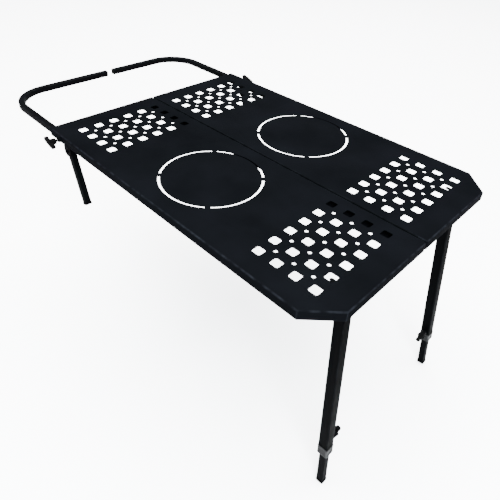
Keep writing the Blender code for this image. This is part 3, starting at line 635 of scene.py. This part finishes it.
def tire_arm(name, side):
    """The bent tube, swept from its end in the receiver to its end behind the tire."""
    bpy.ops.mesh.primitive_plane_add(
        size=inner_tube, location=(side * receiver_x, -arm_inside, arm_z), rotation=(math.pi / 2, 0, 0)
    )
    arm = begin(name)
    bpy.ops.mesh.select_all(action="SELECT")
    bpy.ops.mesh.bevel(offset=tube_corner, offset_type="OFFSET", segments=6, affect="VERTICES")
    bpy.ops.mesh.select_all(action="SELECT")
    bpy.ops.mesh.inset(thickness=inner_wall, use_even_offset=True)
    bpy.ops.mesh.delete(type="FACE")
    bpy.ops.mesh.select_mode(type="FACE")
    bpy.ops.mesh.select_all(action="SELECT")
    bend_start = crossbar_y - bend_radius
    extrude((0, bend_start + arm_inside, 0))
    center = (side * (receiver_x - bend_radius), bend_start, arm_z)
    bpy.ops.mesh.spin(steps=32, angle=-side * math.pi / 2, center=center, axis=(0, 0, 1))
    crossbar_end = arm_gap_middle + side * arm_gap / 2
    extrude((crossbar_end - side * (receiver_x - bend_radius), 0, 0))
    bpy.ops.object.mode_set(mode="OBJECT")
    soften(arm, 0.0003, 2, 60)
    close_shape(arm)
    return arm


for side_name, side in (("left", -1), ("right", 1)):
    arm = tire_arm("tire_arm_" + side_name, side)
    dress(arm, tube_coat, "arm_assembly_" + side_name, "tube_coat", "arm_" + side_name)


# The arms' end caps: moulded black nylon plugs with a domed head and a ribbed stem that grips in the tube.
nylon = coated_finish(
    "moulded_black_nylon",
    deep=(0.0004, 0.0004, 0.00045),
    pale=(0.0006, 0.0006, 0.0007),
    roughness=0.6,
    specular=0.006,
    grain=1500,
    grain_height=0.00004,
    edge_wear_and_highlight=0.35,
)


def end_plug(name, head_width, head_height, stem_length, dome):
    """A plug along Z: its head stands above the origin and its ribbed stem goes down into the tube."""
    plug = square_bar(name, head_width, 0.0026, joint_gap, joint_gap + head_height)
    bpy.ops.object.mode_set(mode="EDIT")
    pick("FACE", lambda f: f.normal.z > 0.9)
    bpy.ops.mesh.inset(thickness=dome)
    bpy.ops.transform.translate(value=(0, 0, 0.0008))
    bpy.ops.mesh.inset(thickness=dome * 1.5)
    bpy.ops.transform.translate(value=(0, 0, 0.0002))
    bpy.ops.object.mode_set(mode="OBJECT")
    bore = inner_tube - 2 * inner_wall - 0.0006
    stem = square_bar("stem", bore - 0.0012, 0.0006, -stem_length, 0.0008, 3)
    combine(plug, [stem], "UNION")
    for k in range(4):
        low_z = -stem_length + 0.002 + k * (stem_length - 0.003) / 4
        combine(plug, [square_bar("rib", bore, 0.0006, low_z, low_z + 0.001, 3)], "UNION")
    soften(plug, 0.0003, 2, 50)
    close_shape(plug)
    return plug


cap = end_plug("arm_end_cap", inner_tube, 0.0017, 0.0137, 0.0018)
for side_name, side in (("left", -1), ("right", 1)):
    place = Matrix.Translation((arm_gap_middle + side * arm_gap / 2, crossbar_y, arm_z))
    turned = place @ Matrix.Rotation(-side * math.pi / 2, 4, "Y")
    twin = copy_of(cap, "arm_end_cap_" + side_name, turned)
    dress(twin, nylon, "arm_assembly_" + side_name, "black_nylon", "arm_cap_" + side_name)
bpy.data.objects.remove(cap, do_unlink=True)


# The clamps: an M8 nut welded over the hole, a threaded steel screw, and a moulded nylon T-handle that is
# turned by hand until the screw's tip presses on the sliding tube.
screw_radius = 0.004
thread_pitch = 0.00125
nut_flats = 0.013
nut_height = 0.0065
screw_in_knob = 0.0137
arm_stand_off = 0.008
leg_stand_off = 0.001
arm_screw_tip = -0.005175
leg_tube_width = 0.027
leg_screw_tip = -0.003675


def hexagon_head(name, flats, start, end):
    """A hexagon head or nut along X, whose corners are turned off at both ends."""
    corner = flats / 2 / math.cos(math.pi / 6)
    head = rod(name, corner, (start, 0, 0), (end, 0, 0), sides=6)
    turned = rod("turned", corner, (start, 0, 0), (end, 0, 0), sides=48)
    bpy.ops.object.mode_set(mode="EDIT")
    pick("EDGE", lambda e: not runs_along(e, 0))
    bpy.ops.mesh.bevel(offset=(corner - flats / 2) * 0.9, segments=1, affect="EDGES")
    bpy.ops.object.mode_set(mode="OBJECT")
    combine(head, [turned], "INTERSECT")
    return head


def threaded_screw(name, start, end):
    """A screw along X with a real helical thread and a plain end."""
    depth = 0.52 * thread_pitch
    bpy.ops.mesh.primitive_plane_add(size=thread_pitch, location=(0, 0, 0), rotation=(math.pi / 2, 0, 0))
    screw = begin(name)
    bpy.ops.mesh.delete(type="ONLY_FACE")
    pick("EDGE", lambda e: all(v.co.z < 0 for v in e.verts))
    bpy.ops.mesh.delete(type="EDGE")
    bpy.ops.object.mode_set(mode="OBJECT")
    for v in screw.data.vertices:
        if v.co.z > 0:
            v.co = (math.copysign(thread_pitch * 0.07, v.co.x), 0, screw_radius)
        else:
            v.co = (math.copysign(thread_pitch * 0.44, v.co.x), 0, screw_radius - depth)
    turns = math.ceil((end - start) / thread_pitch) + 4
    screw.data.transform(Matrix.Translation((start - 2 * thread_pitch, 0, 0)))
    bpy.ops.object.mode_set(mode="EDIT")
    pick("VERT", lambda v: v.co.z < screw_radius - depth / 2 and v.co.x > start - 2 * thread_pitch)
    extrude((0.12 * thread_pitch, 0, 0))
    bpy.ops.object.mode_set(mode="OBJECT")
    helix = screw.modifiers.new("helix", "SCREW")
    helix.axis = "X"
    helix.angle = 2 * math.pi
    helix.screw_offset = thread_pitch
    helix.iterations = turns
    helix.steps = 20
    helix.render_steps = 20
    helix.use_merge_vertices = False
    apply_last(screw)
    bpy.ops.object.mode_set(mode="EDIT")
    bpy.ops.mesh.select_all(action="SELECT")
    bpy.ops.mesh.remove_doubles(threshold=0.00002)
    for at, inside, outside in ((start, True, False), (end, False, True)):
        bpy.ops.mesh.select_all(action="SELECT")
        bpy.ops.mesh.bisect(
            plane_co=(at, 0, 0), plane_no=(1, 0, 0), use_fill=True, clear_inner=inside, clear_outer=outside
        )
    close_shape(screw, 30)
    return screw


def t_handle():
    """The handle along X, its neck's end at the origin: a waisted bar on a fluted hub."""
    hub_length = 0.011
    bar_depth = 0.012
    bar_length = 0.052
    bar_width = 0.013
    handle = block(
        "t_handle",
        (hub_length, -bar_length / 2, -bar_width / 2),
        (hub_length + bar_depth, bar_length / 2, bar_width / 2),
    )
    bpy.ops.object.mode_set(mode="EDIT")
    pick("EDGE", lambda e: runs_along(e, 0))
    bpy.ops.mesh.bevel(offset=bar_width * 0.49, segments=8, affect="EDGES")
    for y in (-0.018, -0.0105, 0, 0.0105, 0.018):
        bpy.ops.mesh.select_all(action="SELECT")
        bpy.ops.mesh.bisect(plane_co=(0, y, 0), plane_no=(0, 1, 0))
    pick("VERT", lambda v: abs(v.co.y) < 0.011)
    bpy.ops.transform.resize(value=(1, 1, 0.88), center_override=(0, 0, 0))
    pick("VERT", lambda v: abs(v.co.y) > 0.017 and v.co.x > hub_length + bar_depth / 2)
    bpy.ops.transform.translate(value=(-0.0012, 0, 0))
    bpy.ops.object.mode_set(mode="OBJECT")
    soften(handle, 0.0024, 4, 50)
    hub = rod("hub", 0.0085, (0, 0, 0), (hub_length + bar_depth / 2, 0, 0), 40, 0.0105)
    flutes = []
    for k in range(8):
        angle = 2 * math.pi * (k + 0.5) / 8
        out = Vector((0, math.cos(angle), math.sin(angle)))
        low = out * 0.0094 + Vector((-0.002, 0, 0))
        high = out * 0.0108 + Vector((hub_length - 0.001, 0, 0))
        flutes.append(rod("flute", 0.0016, low, high, 12))
    for flute in flutes:
        combine(hub, [flute])
    combine(handle, [hub], "UNION")
    combine(handle, [rod("bore", screw_hole, (-0.003, 0, 0), (0.014, 0, 0), 24)])
    soften(handle, 0.0003, 2, 50)
    close_shape(handle)
    return handle


handle = t_handle()
nut = hexagon_head("weld_nut", nut_flats, joint_gap, joint_gap + nut_height)
combine(nut, [rod("bore", screw_hole, (-0.003, 0, 0), (0.010, 0, 0), 24)])
soften(nut, 0.0002, 2, 50)
bpy.ops.mesh.primitive_torus_add(
    major_radius=0.0073, minor_radius=0.0011, major_segments=48, minor_segments=8, rotation=(0, math.pi / 2, 0),
    location=(0.0009, 0, 0),
)
fillet = begin("nut_weld")
bpy.ops.object.mode_set(mode="OBJECT")
nut = join([nut, fillet])
close_shape(nut)

# The legs' clamps sit on the legs, so the legs' own place is needed here first.
leg_x = 0.228
leg_pivot = Vector((0, -0.9725, top_z - 0.032))
leg_lean = math.radians(6.1)
leg_splay = math.radians(3.4)
leg_knob_drop = 0.463


def leg_bolt_place(side):
    """From a bolt along X at the origin to the leg's pivot, which is tilted so that the legs splay."""
    pivot = Matrix.Translation((side * leg_x, leg_pivot.y, leg_pivot.z))
    return pivot @ Matrix.Rotation(-side * leg_splay, 4, "Y")


def leg_place(side):
    """From the leg's own space, its pivot at the origin and its tube down along Z, to its place."""
    return leg_bolt_place(side) @ Matrix.Rotation(-leg_lean, 4, "X")


for side_name, side in (("left", -1), ("right", 1)):
    outwards = Matrix.Scale(side, 4, (1, 0, 0))
    leg_assembly = "leg_assembly_" + side_name
    arm_axis = Matrix.Translation((side * half_width, -knob_back, arm_z))
    leg_axis = leg_place(side) @ Matrix.Translation((-side * leg_tube_width / 2, 0, -leg_knob_drop))
    for kind, axis, facing, tip, stand_off, tilt, fixed, turning in (
        ("arm", arm_axis, outwards, arm_screw_tip, arm_stand_off, 16, side_name + "_half", "arm_clamp_"),
        ("leg", leg_axis, mirror @ outwards, leg_screw_tip, leg_stand_off, -72, leg_assembly, "leg_clamp_"),
    ):
        neck = joint_gap + nut_height + stand_off
        tag = kind + "_" + side_name
        body = turning + side_name
        node = kind + "_nut_" + side_name
        dress(copy_of(nut, "weld_nut_" + tag, axis @ facing), steel, fixed, "dark_steel", node)
        turned = axis @ Matrix.Rotation(math.radians(tilt), 4, "X") @ facing
        knob = copy_of(handle, "t_handle_" + tag, turned @ Matrix.Translation((neck, 0, 0)))
        dress(knob, nylon, body, "black_nylon", kind + "_knob_" + side_name)
        screw = threaded_screw("clamp_screw_" + tag, tip, neck + screw_in_knob)
        screw.data.transform(axis @ facing)
        if facing.determinant() < 0:
            screw.data.flip_normals()
        dress(screw, steel, body, "dark_steel", kind + "_screw_" + side_name)
for used in (handle, nut):
    bpy.data.objects.remove(used, do_unlink=True)


# The leg brackets: 2.5 mm steel plate folded into two ears, with a low strap across the front that stops
# the leg at its lean and a narrow tongue, spot-welded under the sheet.
plate = 0.0025
bolt_hole_radius = 0.0033
plate_room = 0.0006
ears_low = -0.015


def bracket_body(name, low, high, half_outside, slopes):
    """The bracket's solid outline: a plate in the plane of the ears, trimmed by slopes and pulled wide."""
    middle_y = (low[0] + high[0]) / 2
    middle_z = (low[1] + high[1]) / 2
    bpy.ops.mesh.primitive_plane_add(
        size=1, location=(-half_outside, middle_y, middle_z), rotation=(0, math.pi / 2, 0)
    )
    body = begin(name, (high[1] - low[1], high[0] - low[0], 1))
    for point, normal in slopes:
        bpy.ops.mesh.select_all(action="SELECT")
        bpy.ops.mesh.bisect(plane_co=(0, *point), plane_no=(0, *normal), clear_outer=True)
    pick("FACE", lambda f: True)
    extrude((2 * half_outside, 0, 0))
    top = high[1]
    pick("EDGE", lambda e: runs_along(e, 1) and abs(middle(e).z - top) < 0.0001)
    bpy.ops.mesh.bevel(offset=0.0028, segments=5, affect="EDGES")
    close_shape(body)
    return body


splay_room = 0.015 * math.tan(leg_splay)
inside = leg_tube_width / 2 + splay_room + plate_room
outside = inside + plate
leg_front = ears_low * math.tan(leg_lean) - leg_tube_width / 2 / math.cos(leg_lean) - joint_gap
leg_bracket = bracket_body(
    "leg_bracket_plate",
    (leg_front - plate, ears_low),
    (0.017, 0.0297),
    outside,
    [((0.0075, -0.015), (0.015, -0.0095))],
)
combine(leg_bracket, [block("channel", (-inside, leg_front, -0.02), (inside, 0.02, 0.0272))])
combine(leg_bracket, [block("window", (-inside, -0.03, -0.011), (inside, 0, 0.0272))])
bolt_hole = rod("bolt_hole", bolt_hole_radius, (-0.03, 0, 0), (0.03, 0, 0), 24)
bolt_hole.data.transform(Matrix.Rotation(leg_splay, 4, "Y"))
combine(leg_bracket, [bolt_hole])
combine(leg_bracket, [block("wing", (-0.0265, 0.008, 0.0272), (-leg_tube_width / 2, 0.017, 0.0297))], "UNION")
tongue = block("tongue", (-0.0265, 0.008, 0.0272), (-0.0175, 0.029, 0.0297))
bpy.ops.object.mode_set(mode="EDIT")
pick("EDGE", lambda e: runs_along(e, 2) and middle(e).y > 0.02)
bpy.ops.mesh.bevel(offset=0.0044, segments=6, affect="EDGES")
bpy.ops.object.mode_set(mode="OBJECT")
combine(leg_bracket, [tongue], "UNION")
soften(leg_bracket, 0.0005, 2, 50)
bead = weld_bead("bracket_weld", 0.024, 0.0016)
beads = [
    copy_of(bead, "bead", Matrix.Translation((x, 0.003, 0.0293))) for x in (-outside + 0.0004, outside - 0.0004)
]
leg_bracket = join([leg_bracket] + beads)
close_shape(leg_bracket)


# The bolts that the legs and the rear posts turn on: M6 hexagon bolts of blackened steel. Each goes through
# both ears and the tube, and is held by a lock nut with a nylon ring.
bolt_flats = 0.010


def pivot_bolt(name, reach, gap=joint_gap):
    """A bolt along X through a bracket: head on the left, lock nut with its nylon ring on the right."""
    face = reach + gap
    bolt = hexagon_head(name, bolt_flats, -face - 0.004, -face)
    lock_nut = hexagon_head("lock_nut", bolt_flats, face, face + 0.0045)
    collar = rod("nylon_ring", 0.0046, (face + 0.004, 0, 0), (face + 0.006, 0, 0), 32, 0.0039)
    shank = rod("shank", 0.0029, (-face - 0.001, 0, 0), (face + 0.0075, 0, 0), 24)
    for part in (shank, lock_nut, collar):
        combine(bolt, [part], "UNION")
    soften(bolt, 0.0002, 2, 50)
    close_shape(bolt)
    return bolt


leg_bolt = pivot_bolt("leg_pivot_bolt", outside, joint_gap + 0.010 * math.tan(leg_splay))
for side_name, side in (("left", -1), ("right", 1)):
    place = Matrix.Translation((side * leg_x, leg_pivot.y, leg_pivot.z)) @ Matrix.Scale(-side, 4, (1, 0, 0))
    twin = copy_of(leg_bracket, "leg_bracket_plate_" + side_name, place)
    dress(twin, tube_coat, side_name + "_half", "tube_coat", "leg_bracket_" + side_name)
    twin = copy_of(leg_bolt, "leg_pivot_bolt_" + side_name, leg_bolt_place(side))
    dress(twin, steel, side_name + "_half", "dark_steel", "leg_bolt_" + side_name)
for used in (leg_bracket, leg_bolt):
    bpy.data.objects.remove(used, do_unlink=True)


# The front legs: a 27 mm square tube that hangs from the bolt, with a gray nylon collar pushed over its
# lower end, and a 19 mm tube that slides in it on a rubber foot.
to_collar = 0.501
extension = 0.111
collar_height = 0.028
foot_height = 0.007
leg_wall = 0.002
tube_top = 0.009
collar_wall = 0.001
outer_end = -(to_collar - 0.0033)
inner_end = -(to_collar + extension - foot_height)

leg_tube = square_tube("leg_outer_tube", leg_tube_width, leg_wall, outer_end, tube_top)
combine(leg_tube, [rod("bolt_hole", bolt_hole_radius, (-0.02, 0, 0), (0.02, 0, 0), 24)])
combine(leg_tube, [rod("screw_hole", screw_hole, (0.005, 0, -leg_knob_drop), (0.02, 0, -leg_knob_drop), 24)])
close_shape(leg_tube)

collar_low = outer_end - 0.0033
collar_top = collar_low + collar_height
collar_width = leg_tube_width + 2 * (joint_gap + collar_wall)
collar_nylon = coated_finish(
    "moulded_gray_nylon",
    deep=(0.0045, 0.0045, 0.0046),
    pale=(0.0065, 0.0065, 0.0067),
    roughness=0.5,
    specular=0.01,
    grain=1400,
    grain_height=0.00004,
    edge_wear_and_highlight=0.5,
)


def leg_collar():
    """The collar: a sleeve with a raised rim at its top and a step at its foot."""
    collar = square_bar("leg_collar_sleeve", collar_width, 0.0032, collar_low, collar_top)
    bpy.ops.object.mode_set(mode="EDIT")
    for z in (collar_top - 0.0045, collar_top - 0.0038, collar_low + 0.004, collar_low + 0.0046):
        bpy.ops.mesh.select_all(action="SELECT")
        bpy.ops.mesh.bisect(plane_co=(0, 0, z), plane_no=(0, 0, 1))
    pick("VERT", lambda v: collar_low + 0.0045 < v.co.z < collar_top - 0.0044)
    slim = (collar_width - 0.0008) / collar_width
    bpy.ops.transform.resize(value=(slim, slim, 1), center_override=(0, 0, 0))
    pick("VERT", lambda v: v.co.z < collar_low + 0.0001)
    bpy.ops.transform.resize(value=(0.95, 0.95, 1), center_override=(0, 0, 0))
    bpy.ops.object.mode_set(mode="OBJECT")
    socket = square_bar("socket", leg_tube_width + 0.0006, tube_corner, outer_end - joint_gap, collar_top + 0.01)
    bore = square_bar("bore", inner_tube + 0.0006, tube_corner, collar_low - 0.01, outer_end + 0.01)
    combine(collar, [socket])
    combine(collar, [bore])
    soften(collar, 0.0004, 2, 30)
    close_shape(collar)
    return collar


collar = leg_collar()
inner_leg = square_tube("leg_inner_tube", inner_tube, inner_wall, inner_end + joint_gap, -(to_collar - 0.250))
close_shape(inner_leg)

rubber = coated_finish(
    "black_rubber",
    deep=(0.0004, 0.0004, 0.0004),
    pale=(0.0006, 0.0006, 0.0006),
    roughness=0.8,
    specular=0.004,
    grain=1800,
    grain_height=0.00006,
    edge_wear_and_highlight=0.2,
)


def rubber_foot(name):
    """A rubber foot that plugs a tube's lower end, upside down: a tapered sole with grip grooves."""
    width = inner_tube + 0.0016
    foot = square_bar(name, width, 0.0026, 0, foot_height)
    bpy.ops.object.mode_set(mode="EDIT")
    pick("FACE", lambda f: f.normal.z > 0.9)
    bpy.ops.mesh.bevel(offset=0.0014, segments=3, affect="EDGES")
    bpy.ops.object.mode_set(mode="OBJECT")
    grooves = [
        block("groove", (-0.02, y - 0.0008, foot_height - 0.0009), (0.02, y + 0.0008, foot_height + 0.002))
        for y in (-0.006, -0.002, 0.002, 0.006)
    ]
    combine(foot, grooves)
    stem_width = inner_tube - 2 * inner_wall - 0.0006
    combine(foot, [square_bar("stem", stem_width, 0.0006, -0.018, foot_height / 2, 3)], "UNION")
    soften(foot, 0.0003, 2, 50)
    close_shape(foot)
    foot.data.transform(Matrix.Rotation(math.pi, 4, "X"))
    return foot


foot = rubber_foot("rubber_foot")
for side_name, side in (("left", -1), ("right", 1)):
    place = leg_place(side)
    to_inside = place @ (Matrix.Identity(4) if side < 0 else mirror)
    assembly = "leg_assembly_" + side_name
    slider = "leg_slider_" + side_name
    twin = copy_of(leg_tube, "leg_outer_tube_" + side_name, to_inside)
    dress(twin, tube_coat, assembly, "tube_coat", "leg_" + side_name)
    twin = copy_of(collar, "leg_collar_sleeve_" + side_name, place)
    dress(twin, collar_nylon, assembly, "gray_nylon", "leg_collar_" + side_name)
    twin = copy_of(inner_leg, "leg_inner_tube_" + side_name, place)
    dress(twin, tube_coat, slider, "tube_coat", "inner_leg_" + side_name)
    twin = copy_of(foot, "rubber_foot_" + side_name, place @ Matrix.Translation((0, 0, inner_end)))
    dress(twin, rubber, slider, "rubber", "foot_" + side_name)
for used in (leg_tube, collar, inner_leg):
    bpy.data.objects.remove(used, do_unlink=True)


# The rear posts: short 19 mm tubes that fold down from a bracket welded under each receiver and rest
# against the tire. A low strap behind each post is its stop.
post_back = 0.088
receiver_low = -0.003175
post_z = receiver_low - joint_gap - plate - plate_room - math.hypot(inner_tube / 2, tube_top)
post_lean = math.radians(16.5)
post_length = 0.172
post_inside = inner_tube / 2 + plate_room
post_outside = post_inside + plate
bracket_top = receiver_low - joint_gap - post_z
strap_in = -0.011 * math.tan(post_lean) + inner_tube / 2 / math.cos(post_lean) + joint_gap
post_bracket = bracket_body(
    "post_bracket_plate",
    (-0.017, ears_low),
    (0.017, bracket_top),
    post_outside,
    [((-0.0075, -0.015), (-0.015, -0.0095)), ((strap_in + plate, -0.011), (0.011, -0.017 + strap_in + plate))],
)
under_plate = bracket_top - plate
combine(post_bracket, [block("channel", (-post_inside, -0.02, -0.02), (post_inside, strap_in, under_plate))])
combine(post_bracket, [block("window", (-post_inside, 0, -0.011), (post_inside, 0.02, under_plate))])
combine(post_bracket, [rod("bolt_hole", bolt_hole_radius, (-0.03, 0, 0), (0.03, 0, 0), 24)])
soften(post_bracket, 0.0005, 2, 50)
beads = [
    copy_of(bead, "bead", Matrix.Translation((x, 0, bracket_top - joint_gap)))
    for x in (-post_outside + 0.0004, post_outside - 0.0004)
]
post_bracket = join([post_bracket] + beads)
close_shape(post_bracket)
post_bolt = pivot_bolt("post_pivot_bolt", post_outside)
post_end = -(post_length - foot_height)
post = square_tube("post_tube", inner_tube, inner_wall, post_end + joint_gap, tube_top)
combine(post, [rod("bolt_hole", bolt_hole_radius, (-0.02, 0, 0), (0.02, 0, 0), 24)])
close_shape(post)
for side_name, side in (("left", -1), ("right", 1)):
    place = Matrix.Translation((side * receiver_x, -post_back, post_z))
    leaned = place @ Matrix.Rotation(-post_lean, 4, "X")
    body = "post_assembly_" + side_name
    twin = copy_of(post_bracket, "post_bracket_plate_" + side_name, place)
    dress(twin, tube_coat, side_name + "_half", "tube_coat", "post_bracket_" + side_name)
    twin = copy_of(post_bolt, "post_pivot_bolt_" + side_name, place)
    dress(twin, steel, side_name + "_half", "dark_steel", "post_bolt_" + side_name)
    twin = copy_of(post, "post_tube_" + side_name, leaned)
    dress(twin, tube_coat, body, "tube_coat", "post_" + side_name)
    sole = leaned @ Matrix.Translation((0, 0, post_end))
    dress(copy_of(foot, "post_foot_" + side_name, sole), rubber, body, "rubber", "post_cap_" + side_name)
for used in (post_bracket, post_bolt, post, foot, bead):
    bpy.data.objects.remove(used, do_unlink=True)


# The studio: a plain pale floor under the feet, a soft even sky, a large softbox overhead and a small cool one
# at the front left, which brightens the near corner.
floor_z = cad_box[0][2] - 0.0005
bpy.ops.mesh.primitive_plane_add(size=60, location=(0, 0, floor_z))
floor = begin("studio_floor")
bpy.ops.object.mode_set(mode="OBJECT")
floor_paint = bpy.data.materials.new("pale_floor_paint")
floor_paint.use_nodes = True
paint = floor_paint.node_tree.nodes["Principled BSDF"].inputs
paint["Base Color"].default_value = (0.94, 0.94, 0.94, 1)
paint["Roughness"].default_value = 0.95
paint["Specular IOR Level"].default_value = 0
floor.data.materials.append(floor_paint)

sky = bpy.data.worlds.new("soft_studio_sky")
bpy.context.scene.world = sky
sky.use_nodes = True
glow = sky.node_tree.nodes["Background"].inputs
glow["Color"].default_value = (0.95, 0.97, 1, 1)
glow["Strength"].default_value = 5.2


def softbox(name, place, target, width, height, power, color):
    """A soft area light that faces a point."""
    lamp = bpy.data.lights.new(name, "AREA")
    lamp.shape = "RECTANGLE"
    lamp.size = width
    lamp.size_y = height
    lamp.energy = power
    lamp.color = color
    holder = bpy.data.objects.new(name, lamp)
    bpy.context.scene.collection.objects.link(holder)
    holder.location = place
    holder.rotation_euler = (Vector(target) - Vector(place)).to_track_quat("-Z", "Y").to_euler()


softbox(
    "overhead_softbox",
    place=(0.6, 0.2, 5.0),
    target=(0.6, 0.2, 0),
    width=8.0,
    height=7.0,
    power=3000,
    color=(1, 1, 1),
)
softbox(
    "front_left_softbox",
    place=(-1.3, -2.1, 1.7),
    target=(-0.2, -0.9, 0),
    width=1.2,
    height=1.2,
    power=340,
    color=(0.9, 0.96, 1),
)

# The camera stands where the photographer's did, to the left of the near corner and a little above the top.
lens = bpy.data.cameras.new("photo_camera")
camera = bpy.data.objects.new("photo_camera", lens)
bpy.context.scene.collection.objects.link(camera)
lens.sensor_width = 36
lens.lens = 34.90
lens.shift_y = -0.12
camera.location = (-0.8812, -1.3023, 0.6955)
camera.rotation_euler = [math.radians(a) for a in (56.074, -2.833, -45.035)]
bpy.context.scene.camera = camera

bpy.context.view_layer.update()
